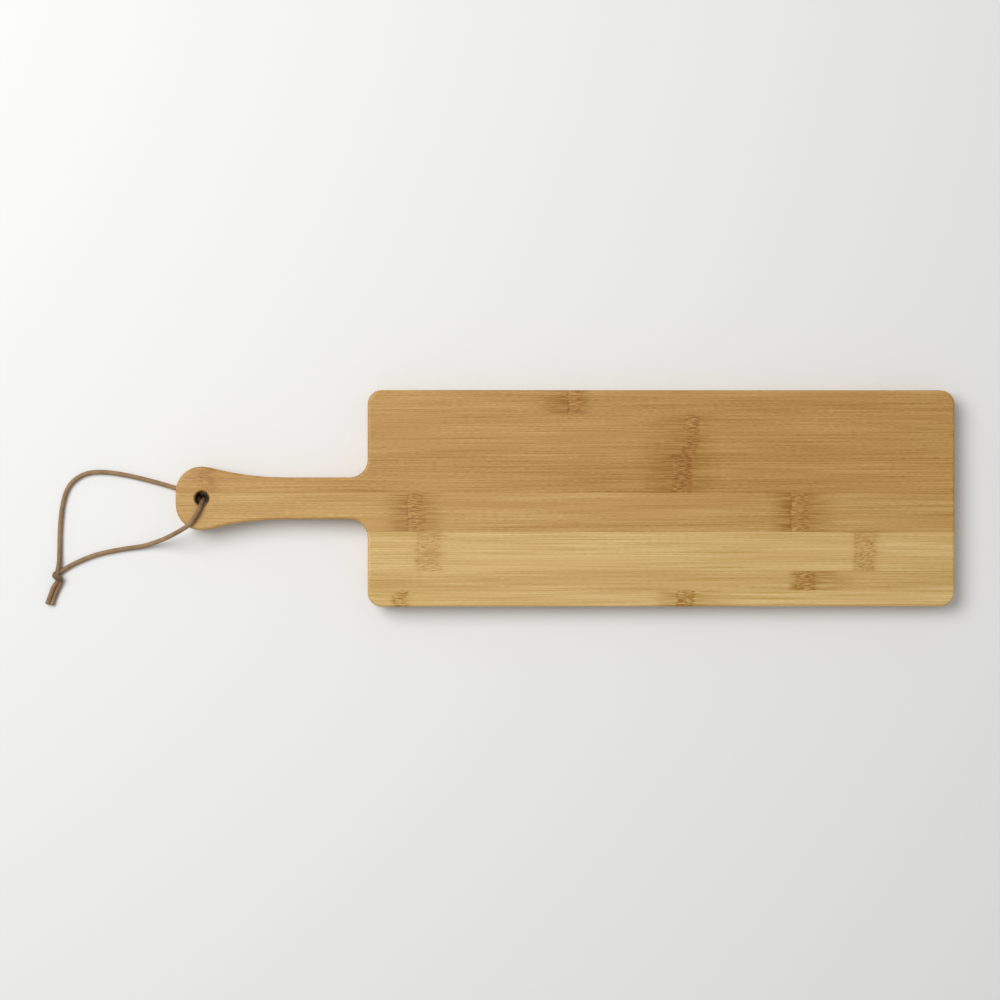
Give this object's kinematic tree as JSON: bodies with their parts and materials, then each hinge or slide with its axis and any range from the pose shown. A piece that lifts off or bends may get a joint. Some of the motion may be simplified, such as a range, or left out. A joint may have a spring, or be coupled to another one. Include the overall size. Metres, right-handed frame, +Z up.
{
  "type": "paddle serving board",
  "caption": "Paddle-shaped bamboo serving board of glued lengthwise strips over a crosswise core, with a rounded handle, a hanging hole and a tied leather cord loop.",
  "frame": {"origin": "on the table under the middle of the board's length and width", "axes": "+X along the board from the handle to the far end of the blade, +Y across the blade, +Z up out of the serving face"},
  "size_m": [0.5873, 0.1391, 0.0218],
  "materials": {
    "bamboo_tan": "planed bamboo, satin, lightly oiled",
    "bamboo_pale": "planed pale bamboo, satin, lightly oiled",
    "bamboo_core": "sanded bamboo end grain, satin",
    "leather_cord": "round leather cord, waxed, semi-matt"
  },
  "bodies": {
    "board": {"face_strip_1": "bamboo_tan", "face_strip_2": "bamboo_tan", "face_strip_3": "bamboo_tan", "face_strip_4": "bamboo_tan", "face_strip_5": "bamboo_pale", "face_strip_6": "bamboo_pale", "face_strip_7": "bamboo_pale", "core_strip_01": "bamboo_core", "core_strip_02": "bamboo_core", "core_strip_03": "bamboo_core", "core_strip_04": "bamboo_core", "core_strip_05": "bamboo_core", "core_strip_06": "bamboo_core", "core_strip_07": "bamboo_core", "core_strip_08": "bamboo_core", "core_strip_09": "bamboo_core", "core_strip_10": "bamboo_core", "core_strip_11": "bamboo_core", "core_strip_12": "bamboo_core", "core_strip_13": "bamboo_core", "core_strip_14": "bamboo_core", "core_strip_15": "bamboo_core", "core_strip_16": "bamboo_core", "core_strip_17": "bamboo_core", "core_strip_18": "bamboo_core", "core_strip_19": "bamboo_core", "core_strip_20": "bamboo_core", "core_strip_21": "bamboo_core", "back_strip_1": "bamboo_tan", "back_strip_2": "bamboo_tan", "back_strip_3": "bamboo_pale", "back_strip_4": "bamboo_pale", "back_strip_5": "bamboo_pale", "back_strip_6": "bamboo_tan", "back_strip_7": "bamboo_tan"},
    "cord": {"cord_face_leg": "leather_cord", "cord_under_leg": "leather_cord", "cord_back_loop": "leather_cord", "cord_knot": "leather_cord", "cord_tail_1": "leather_cord", "cord_tail_2": "leather_cord"}
  },
  "joints": [
    {"name": "cord_swing", "type": "hinge", "parent": "board", "child": "cord", "pos_m": [-0.233, 0, 0], "axis": [0, 0, 1], "range_deg": [-60, 45]}
  ]
}
